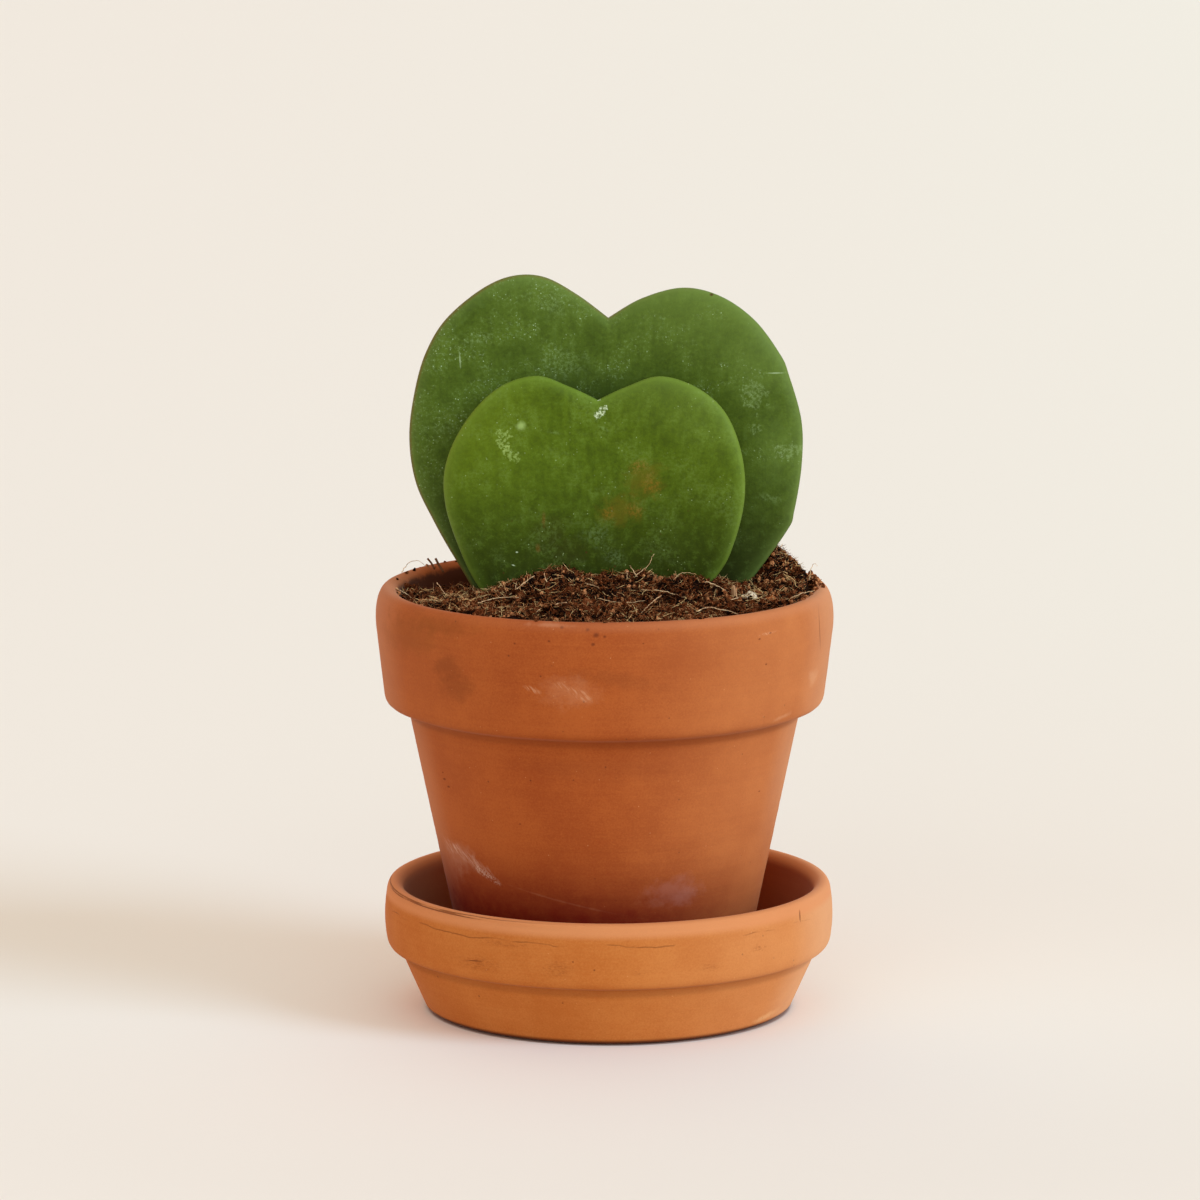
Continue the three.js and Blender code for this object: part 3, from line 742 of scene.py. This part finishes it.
fuzz = hair.made(
    "coir_fuzz", scattered(7400, 0.2, 0.7),
    Length=2.6 * MM, Thickness=0.07 * MM, Curl=1.6 * MM, Lift=1.1, Seed=21, Coir=hair_soil,
)
lint = hair.made(
    "coir_lint", scattered(7200, 0.1, 0.9),
    Length=1.8 * MM, Thickness=0.06 * MM, Curl=1.3 * MM, Lift=1.3, Seed=34, Coir=lint_soil,
)
for piece in (clods, crumbs, spilled, hairs, strands, fuzz, lint):
    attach(piece, "root")


# Threads: the longer tan hairs of coir that stand out of the soil or lie across it. Each is one
# fibre of the husk, stuck in the soil by its foot.
def smooth_path(points, count):
    """Even steps along a smooth curve through the points."""
    knots = np.array([points[0], *points, points[-1]], float)
    t = np.linspace(0, 1, 40, endpoint=False)[:, None]
    runs = []
    for a, b, c, d in zip(knots, knots[1:], knots[2:], knots[3:]):
        leave, arrive = (c - a) / 2, (d - b) / 2
        cubic = (2 * b - 2 * c + leave + arrive) * t**3
        runs.append(cubic + (3 * c - 3 * b - 2 * leave - arrive) * t**2 + leave * t + b)
    fine = np.vstack([*runs, knots[-1]])
    run = np.concatenate([[0], np.cumsum(np.linalg.norm(np.diff(fine, axis=0), axis=1))])
    even = np.linspace(0, run[-1], count + 1)
    return np.stack([np.interp(even, run, fine[:, k]) for k in range(fine.shape[1])], 1)


def tube_rings(path, radii, sides):
    """Rings of points round a path."""
    ahead = np.gradient(path, axis=0)
    ahead /= np.linalg.norm(ahead, axis=1)[:, None]
    side = np.cross(ahead, (0.31, 0.87, 0.39))
    side /= np.linalg.norm(side, axis=1)[:, None]
    over = np.cross(ahead, side)
    turn = np.arange(sides) * (2 * math.pi / sides)
    c, s = np.cos(turn)[None, :, None], np.sin(turn)[None, :, None]
    out = c * side[:, None] + s * over[:, None]
    return list(path[:, None] + out * np.asarray(radii)[:, None, None])


def joined(name, pieces):
    """One object of several."""
    with bpy.context.temp_override(active_object=pieces[0], selected_editable_objects=pieces):
        bpy.ops.object.join()
    pieces[0].name = name
    return pieces[0]


THREADS = [  # thickness, then the points that it runs through
    (0.34, (-23.6, -13, 102.4), (-20.5, -13, 104.9), (-16.8, -12, 107.7)),
    (0.26, (-21.6, -13.4, 102.6), (-21, -12.4, 106.2)),
    (0.26, (-41.2, 4, 99.8), (-41.4, 4, 103.1)),
    (0.3, (-31.7, -2.2, 100.4), (-31.6, -2.6, 103.8)),
    (0.22, (7.6, -11, 107.6), (10.4, -11, 109.9), (11.8, -11, 112.7)),
    (0.24, (7.8, -11, 107.2), (6, -11, 109.9)),
    (0.3, (5.4, -10, 106.2), (5.4, -11, 108.6)),
    (0.28, (8.7, -14.5, 104.6), (14.5, -16.2, 104.4), (20.8, -18.6, 103)),
    (0.24, (13.5, -17, 103.6), (11.2, -25.5, 103.4), (8.6, -34.2, 102.3)),
    (0.36, (20.9, -32.6, 102), (24, -30.6, 103), (28, -30, 102.4), (31.6, -30.5, 101.4)),
    (0.3, (23.6, -11.2, 105.9), (26.8, -11.6, 105.2), (29.4, -11.2, 103.4)),
    (0.26, (43.4, -14.8, 102.2), (47, -13.6, 103.5), (50.2, -12.4, 104)),
    (0.2, (49.4, 0.6, 104.4), (49.8, 0.4, 107.3), (50.6, 0, 108.6), (51.2, 0, 107.8)),
    (0.3, (-4.6, -12.8, 105.8), (-2, -14.8, 105.4), (0.3, -16.8, 104.3)),
    (0.28, (-13.2, -14.6, 104.2), (-14.4, -12.4, 108.2)),
    (0.24, (-40.4, 3.6, 103.2), (-39, -3, 102.6), (-37.3, -9, 101.4)),
    (0.26, (-50.2, -6, 103.5), (-48.4, -5.6, 102.6), (-46, -4.4, 100.6)),
    (0.2, (-49.4, 18, 103.4), (-47.8, 20, 105.3), (-45.4, 20, 105.9), (-43.6, 21, 104.4)),
    (0.2, (-1.6, -21, 103.6), (4, -23.4, 103), (9.6, -22, 103.2)),
    (0.22, (-30, -22.6, 102.8), (-26, -19.6, 103.4), (-20.4, -19, 103.6)),
    (0.22, (-9, -27, 103.6), (-13.4, -30, 103.4), (-16, -35, 102.8)),
    (0.22, (30, -22, 103.4), (34, -19.4, 104), (38.6, -19.8, 103.2)),
    (0.2, (16.4, -12.2, 106.6), (18.4, -13, 108.4), (21.6, -13, 108.2)),
    (0.24, (-27.6, 20, 100.6), (-22, 24, 102.6), (-15, 25, 102.8)),
    (0.24, (12, 30, 103), (19, 27, 104.6), (27, 28, 104.4)),
    (0.2, (-34, 22, 97.4), (-38, 16, 99.4), (-40, 9, 100)),
    (0.22, (4, 24, 102), (7, 31, 103.4), (5, 38, 102.4)),
]
threads = []
for thickness, *route in THREADS:
    path = smooth_path(route, 14)
    path += chances.normal(0, 0.07, path.shape)
    radii = thickness / 2 * np.linspace(1, 0.45, len(path))
    threads.append(skin("thread", path[0], tube_rings(path, radii, 6), path[-1]))

threads = joined("coir_threads", threads)
straw = Finish("tan_fibre", (156, 106, 68))
streak = straw.noise(straw.place(), 1.1, 3, 0.7)
straw.over((244, 202, 150), streak.rise(0.35, 0.62))
threads.data.materials.append(straw.finish(0.75, 0.3, streak, 0.05))
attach(threads, "root")

# Two stubs of husk lean on the rim at the back on the left.
STUBS = [
    (0.6, (-39.4, 27.2, 101.9), (-40.6, 28, 103.6), (-41.4, 28.6, 105.1)),
    (0.5, (-41.6, 27.4, 102.6), (-42.4, 27.8, 104), (-43.4, 28, 105.2)),
]
stubs = []
for thickness, *route in STUBS:
    path = smooth_path(route, 8)
    stubs.append(skin("stub", path[0], tube_rings(path, [thickness / 2] * len(path), 7), path[-1]))
stubs = joined("husk_stubs", stubs)
husk = coir_finish("husk", (120, 76, 50), (164, 112, 78), (206, 150, 108), 0.2)
stubs.data.materials.append(husk)
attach(stubs, "root")


# Leaves: thick waxy blades shaped like hearts, folded a little along the midrib. Each grew with
# its short stalk as one piece and stands in the soil by it.
LEAF_FRONT = {
    "foot": (0, -3, 84), "lean": 2, "thick": 4, "middle": (-1.8, 38), "fold": 0.13, "soft": 6,
    "roll_start": 22, "roll": 0.007, "bend": 0.0007, "stalk": (12, 2.3),
    "left": [
        (-1.6, 64.3), (-8.6, 67.6), (-16.5, 70.2), (-25.5, 67.4), (-33.2, 59.6), (-38, 49.5),
        (-38.2, 39.5), (-34.5, 28), (-29.6, 18.6), (-21, 8.5), (-10, 0), (-1.8, -5),
    ],
    "right": [
        (-1.6, 64.3), (5.2, 67.5), (13.4, 70.1), (22.3, 67.4), (29.1, 61.3), (33, 51.1),
        (33.5, 40), (30.4, 28.2), (26.4, 21.4), (17.5, 10), (7, 0.5), (-1.8, -5),
    ],
}
LEAF_REAR = {
    "foot": (0, 6.5, 84), "lean": 4, "thick": 4.4, "middle": (0.6, 46), "fold": 0.13, "soft": 8,
    "roll_start": 28, "roll": 0.006, "bend": 0.0006, "stalk": (12, 2.5),
    "left": [
        (0.9, 82.7), (-6.6, 88.3), (-14.7, 92.6), (-22.5, 92.8), (-30, 89.5), (-38, 82.8),
        (-42.6, 75.6), (-45.4, 67), (-47.1, 55), (-45.7, 43.7), (-41.3, 34), (-35.8, 24.3),
        (-27, 10.8), (-13, -1.5), (0.4, -7),
    ],
    "right": [
        (0.9, 82.7), (9, 87.4), (18.9, 90), (28, 88), (36.2, 82.3), (42.4, 74), (44.4, 69.3),
        (47.5, 58.2), (47.6, 47.5), (45.8, 36.2), (44, 31.4), (33.9, 17.6), (24, 6.5),
        (12, -2), (0.4, -7),
    ],
}
HALF_STEPS = 180
RIM_WIDTH = 5.5
RIM_STEPS = 12
BLADE_RINGS = 38


def forward(leaf, u, v):
    """How far the middle of the blade stands towards its face."""
    side = np.abs(u - leaf["middle"][0])
    fold = leaf["fold"] * (np.hypot(side, leaf["soft"]) - leaf["soft"])
    roll = leaf["roll"] * np.maximum(0, side - leaf["roll_start"]) ** 2
    return fold - roll - leaf["bend"] * (v - leaf["middle"][1] / 2) ** 2


def swelling(u, v):
    """Low swellings and small dents of a blade."""
    return 0.35 * relief(u / 9 + 5, v / 9 + 3) + 0.15 * relief(u / 3.5, v / 3.5)


def grow_leaf(name, leaf):
    left, right = (smooth_path(leaf[half], HALF_STEPS) for half in ("left", "right"))
    outline = np.vstack([left[:-1], right[:0:-1]])
    middle = np.array(leaf["middle"])
    ray = outline - middle
    reach = np.linalg.norm(ray, axis=1)
    ray /= reach[:, None]
    half = leaf["thick"] / 2
    rows = []
    for a in np.linspace(0, math.pi / 2, RIM_STEPS):
        roll = (1 - math.cos(a)) ** 1.5
        rows.append((reach - RIM_WIDTH * roll, half * math.sqrt(1 - (1 - roll) ** 3.2)))
    rows += [((reach - RIM_WIDTH) * share, half) for share in np.linspace(1, 0, BLADE_RINGS + 1)[1:-1]]

    def ring(distance, offset):
        u, v = (middle + ray * distance[:, None]).T
        inset = reach - distance
        raised = offset + swelling(u, v) * np.clip(inset / 3, 0, 1)
        flat = np.column_stack([u, -(forward(leaf, u, v) + raised), v])
        return flat, np.column_stack([u, v, np.copysign(inset, offset)])

    stack = [ring(*row) for row in rows[:0:-1]] + [ring(*rows[0])]
    stack += [ring(distance, -offset) for distance, offset in rows[1:]]
    u, v = middle
    first, last = ((u, -(forward(leaf, u, v) + side + swelling(u, v)), v) for side in (half, -half))
    blade = skin(name, first, [flat for flat, _ in stack], last)
    inner = reach.mean()
    written = np.vstack([[(*middle, inner)], *[mark for _, mark in stack], [(*middle, -inner)]])

    length, thick = leaf["stalk"]
    base_u, base_v = leaf["left"][-1]
    y = -forward(leaf, base_u, base_v)
    route = [(base_u, y, base_v + 8), (base_u, y, base_v), (base_u + 1.5, y + 1, base_v - length)]
    path = smooth_path(route, 20)
    stalk = skin("stalk", path[0], tube_rings(path, [thick] * len(path), 20), path[-1])
    written = np.vstack([written, [(base_u, base_v, 1)] * len(stalk.data.vertices)])
    piece = joined(name, [blade, stalk])
    marks = piece.data.attributes.new("blade", "FLOAT_VECTOR", "POINT")
    marks.data.foreach_set("vector", written.ravel())

    points = places(piece)
    c, s = math.cos(math.radians(leaf["lean"])), math.sin(math.radians(leaf["lean"]))
    x, y, z = points.T
    put(piece, np.column_stack([x, y * c + z * s, z * c - y * s]) + leaf["foot"])
    return piece


def leaf_finish(name, light, dark, deep, rim_light_tint):
    """A waxy blade: mottled green, faint upright streaks, painted shade towards the foot, and a painted
    highlight at the rim.
    """
    wax = Finish(name, dark)
    blade = wax.written("blade")
    across, up, inset = blade.along(0), blade.along(1), blade.along(2)
    flat = wax.vector(across, up, 0.0)
    clouds = wax.noise(flat, 0.11, 5, 0.64)
    streaks = wax.noise(wax.stretched(flat, 0.9, 0.07, 1), 1, 3, 0.6)
    grain = wax.noise(flat, 1.3, 4, 0.72)
    mixed = clouds * 0.55 + streaks * 0.15 + grain * 0.3
    wax.over(light, mixed.rise(0.36, 0.64))
    # Darker towards the foot: painted shade near the soil.
    wax.over(deep, up.fall(12, 52) * (0.7 + 0.6 * clouds))
    mottle = wax.noise(flat, 0.45, 5, 0.78)
    wax.over(deep, mottle.fall(0.4, 0.5) * 0.22)
    wax.over(rim_light_tint, mottle.rise(0.52, 0.62) * 0.14)
    # The rim is made paler: a painted highlight where the rounded edge catches the light.
    edge = inset.maths("ABSOLUTE")
    wax.over(rim_light_tint, edge.fall(0, 4) * 0.3 + edge.fall(0.3, 1.4) * 0.3)
    front = inset.rise(-0.1, 0.1)
    wax.faced(across, up, wax.noise(flat, 0.4, 4, 0.7) - 0.5, front, 0.8)
    return wax, across, up, flat, edge, front, clouds, streaks, grain, grain.rise(0.42, 0.6)


front_leaf = grow_leaf("leaf_front_grown", LEAF_FRONT)
wax, across, up, flat, edge, front, clouds, streaks, grain, gritty = leaf_finish(
    "young_leaf", (86, 103, 12), (68, 83, 5), (30, 34, 0), (112, 136, 48)
)
wax.over((104, 118, 16), across.fall(-34, -8) * up.rise(30, 60) * 0.3)
# The top of the blade, more on the right, is made paler: painted light from the lamp on the right.
wax.over((114, 134, 58), (across * 0.5 + up).rise(58, 84) * 0.32)
wax.marks((104, 88, 14), 0.5, ((9.6, 45.4), (6, 6.6), -60), ((3.8, 38), (7, 5), 10))
wax.marks(
    (132, 92, 22), gritty * 0.6, ((7.8, 48.6), (3.4, 2)), ((11, 44.4), (3, 3.4), 20),
    ((6.8, 38), (2.6, 2.4)), ((1, 37.6), (2, 2.6)),
)
wax.marks((44, 34, 4), 0.3, ((-13, 33), (6, 6)), ((-9, 28), (8, 5)))
wax.marks((112, 66, 16), 0.4, ((-14.6, 36), (0.7, 2.4)), ((-16, 29), (0.8, 1.6)))
wax.marks(
    (152, 168, 88), gritty * 0.6, ((-23.8, 56.6), (3.2, 1.5), -8), ((-24.4, 54), (2.4, 1.8), -40),
    ((-22.2, 51.6), (3, 2.1), -40), ragged=1.1, crisp=True,
)
wax.marks((150, 168, 92), 0.85, ((-20, 58.5), (1.6, 1.5)), ragged=0.5)
# The larger pale mark is a raised nub below the notch; the small one at the tip of the notch is a painted
# highlight.
wax.marks(
    (206, 212, 170), gritty, ((-0.9, 61.6), (2.6, 1.4), 35), ((-1.6, 64.6), (0.9, 0.6)), crisp=True
)
wax.over((118, 138, 74), clouds.rise(0.47, 0.6) * gritty * front * 0.16)
wax.marks((128, 148, 84), gritty * 0.3, ((-12, 56.8), (3, 0.8), -10), ((0, 57.5), (2, 0.6), -30))
wax.marks((112, 130, 84), gritty * 0.2, ((-2, 32), (5, 4)), ((2, 27), (4, 3)))
wax.marks((196, 206, 164), 0.8, ((-21, 28.1), (0.4, 0.25)), ((-21.9, 25), (0.6, 0.25), -20))
dust = wax.dots(flat, 1.2, 0.22, 0.16) * clouds.rise(0.44, 0.56)
wax.over((158, 172, 112), dust * 0.6)
wax.over((70, 40, 12), wax.dots(flat, 0.45, 0.16, 0.12) * up.fall(24, 48) * 0.7)
height = grain * 0.5 + streaks * 0.3 + dust * 0.5
front_leaf.data.materials.append(wax.finish(0.42 + 0.2 * grain, 0.07, height, 0.1))

rear_leaf = grow_leaf("leaf_rear_grown", LEAF_REAR)
wax, across, up, flat, edge, front, clouds, streaks, grain, gritty = leaf_finish(
    "old_leaf", (82, 99, 25), (62, 77, 13), (34, 38, 6), (106, 126, 60)
)
margin = edge.fall(0.2, 0.9) * (clouds - across * 0.004).rise(0.4, 0.6)
wax.over((104, 78, 34), margin * 0.6)
# The top of the blade, more on the right, is made paler: painted light.
wax.over((116, 136, 60), (across * 0.3 + up).rise(74, 100) * 0.4)
# A dark patch round the front leaf's top edge: the painted shadow of the front leaf.
wax.marks((44, 57, 6), 0.7, ((-4, 62), (28, 12)), ((-14, 56), (18, 10), 30), ragged=0.4)
wax.marks((112, 132, 62), 0.16, ((38, 72), (12, 14)), ((42, 52), (8, 14)), ragged=0.5)
film = (clouds - across * 0.0012).rise(0.48, 0.6) * up.rise(16, 60)
specks = grain.rise(0.5, 0.64) * film
wax.over((120, 140, 84), specks * 0.42 * front)
dust = wax.dots(flat, 1.5, 0.24, 0.4) * film * grain.rise(0.42, 0.56)
wax.over((198, 214, 164), dust * 0.7 * front)
wax.marks(
    (138, 156, 98), gritty * 0.36, ((36, 64.4), (4.6, 4), -50), ((44, 51), (5, 2.6), 10),
    ((36.4, 56.4), (2.6, 1.6), -10), ragged=1.4, crisp=True,
)
wax.marks(
    (130, 150, 92), gritty * 0.24, ((-30.9, 78), (4.6, 2), 6), ((-39.6, 56.3), (5, 1.6)),
    ((40, 39.4), (5, 1.6), -8), ((-10, 72), (8, 5)), ((-12, 86), (5, 4)), ragged=1.4,
)
wax.marks(
    (176, 190, 142), 0.5, ((41.3, 69.7), (2.6, 0.22)), ((-34.8, 73), (0.3, 2.4), 4),
    ((-35, 88), (0.4, 0.4)),
)
wax.marks((72, 42, 20), 0.9, ((25.8, 88.4), (0.7, 0.5)), ragged=0.2)
height = grain * 0.5 + streaks * 0.3 + specks * 0.4
rear_leaf.data.materials.append(wax.finish(0.44 + 0.2 * grain, 0.07, height, 0.1))

for piece, node, slot in [
    (front_leaf, "leaf_front", "young_leaf"), (rear_leaf, "leaf_rear", "old_leaf"),
]:
    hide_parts(node)
    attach(piece, "root")


# Loose grains right of the leaves: one crushed white grain of perlite, one flake of bark and one
# broken end of straw, all half sunk in the soil.
def grain_of(name, node, lumps, size):
    """A finer grain in place of a plain one: its own solid, rounded off and roughened."""
    piece = shape(name, [])
    piece.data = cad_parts[node].data.copy()
    piece.data.name = name
    piece.data.materials.clear()
    weld = piece.modifiers.new("weld", "WELD")
    weld.merge_threshold = 0.005 * MM
    finer = piece.modifiers.new("finer", "SUBSURF")
    finer.levels = finer.render_levels = 3
    graph = bpy.context.evaluated_depsgraph_get()
    mesh = bpy.data.meshes.new_from_object(piece.evaluated_get(graph), depsgraph=graph)
    piece.modifiers.clear()
    piece.data = mesh
    points = places(piece)
    middle = points.mean(axis=0)
    ray = points - middle
    reach = np.linalg.norm(ray, axis=1)
    x, y, z = (points / size).T
    bumps = relief(x + z * 0.7, y - z * 0.6) + 0.5 * relief(2.1 * x - z, 2.1 * y + 1.3 * z)
    put(piece, points + ray / reach[:, None] * (lumps * bumps)[:, None])
    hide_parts(node)
    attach(piece, "root")
    return piece


perlite = grain_of("perlite_crushed", "perlite_grain", 0.6, 0.7)
chalk = Finish("perlite", (142, 98, 60))
pores = chalk.noise(chalk.place(), 2.4, 4, 0.7)
chalk.over((244, 222, 186), pores.rise(0.4, 0.54))
perlite.data.materials.append(chalk.finish(0.9, 0.2, pores, 0.5))

bark = grain_of("bark_flake", "bark_chip", 0.7, 0.8)
cork = Finish("bark", (112, 54, 24))
layers = cork.noise(cork.stretched(cork.place(), 0.6, 0.6, 2.4), 1, 4, 0.7)
cork.over((206, 122, 62), layers.rise(0.38, 0.62))
bark.data.materials.append(cork.finish(0.85, 0.2, layers, 0.3))

twig = grain_of("straw_stub", "twig_stub", 0.18, 0.5)
stem = Finish("straw", (120, 76, 46))
veins = stem.noise(stem.stretched(stem.place(), 3, 3, 0.3), 1, 3, 0.6)
stem.over((206, 156, 108), veins.rise(0.38, 0.62))
twig.data.materials.append(stem.finish(0.8, 0.25, veins, 0.1))


# Floor and light: a pale floor, with painted light and a painted contact shadow round the saucer,
# one large soft lamp from the right and front, and a room of soft panels: pale in front and behind,
# warm on the right and dim on the left.
FLOOR_REACH = 14000
FLOOR_SIDES = 64
corners = [
    (math.cos(turn) * FLOOR_REACH, math.sin(turn) * FLOOR_REACH, 0)
    for turn in np.linspace(0, 2 * math.pi, FLOOR_SIDES + 1)[:-1]
]
floor = shape("floor", corners, [tuple(range(FLOOR_SIDES))])
pale = Finish("floor_paint", (236, 228, 217))
place = pale.place()
away = place.along(1).rise(0, 700)
out = pale.out_from(SAUCER_X, place)
pale.over((234, 226, 215), away)
pale.over((235, 232, 221), place.along(0).rise(-400, 800) * away)
# Round the saucer the floor is made paler: painted light.
pale.over((255, 248, 238), out.fall(40, 200) * 0.34)
# A dark brown ring at the saucer's foot: painted contact shadow.
pale.over((160, 84, 44), out.fall(43.7, 44.7) * 0.7)
floor.data.materials.append(pale.finish(0.9, 0.1, 0.0, 0.0))

key = bpy.data.lights.new("key", "SUN")
key.energy = 2.05
key.angle = math.radians(26)
key.color = (0.49, 0.73, 1.0)
key_lamp = added("key", key)
key_lamp.rotation_euler = (math.radians(63), 0, math.radians(60))

PANELS = [  # where a soft panel of light stands, and its colour
    ((1, 0, 0.15), (1.3, 0.87, 0.67, 1)),
    ((0, -1, 0.15), (1.25, 1.55, 1.5, 1)),
    ((0, 1, 0.15), (0.9, 1.45, 1.5, 1)),
    ((-1, -1, 0.5), (0.55, 0.55, 0.7, 1)),
    ((-1, 1, 0.5), (1.0, 0.35, 0.0, 1)),
]
room = bpy.data.worlds.new("room")
room.use_nodes = True
bpy.context.scene.world = room
air = Nodes(room.node_tree)
ray = air.add("ShaderNodeTexCoord", output="Generated")
glow = (0, 0, 0, 1)
for stand, shade in PANELS:
    aim = (np.array(stand) / np.linalg.norm(stand)).tolist()
    facing = air.add("ShaderNodeVectorMath", {0: ray, 1: aim}, "Value", operation="DOT_PRODUCT")
    facing = facing.maths("MAXIMUM", 0)
    glow = air.layer(glow, shade, facing * facing, "ADD")
backdrop = air.add("ShaderNodeBackground", {"Color": glow})
air.add("ShaderNodeOutputWorld", {"Surface": backdrop})
bpy.context.scene.view_settings.view_transform = "Standard"
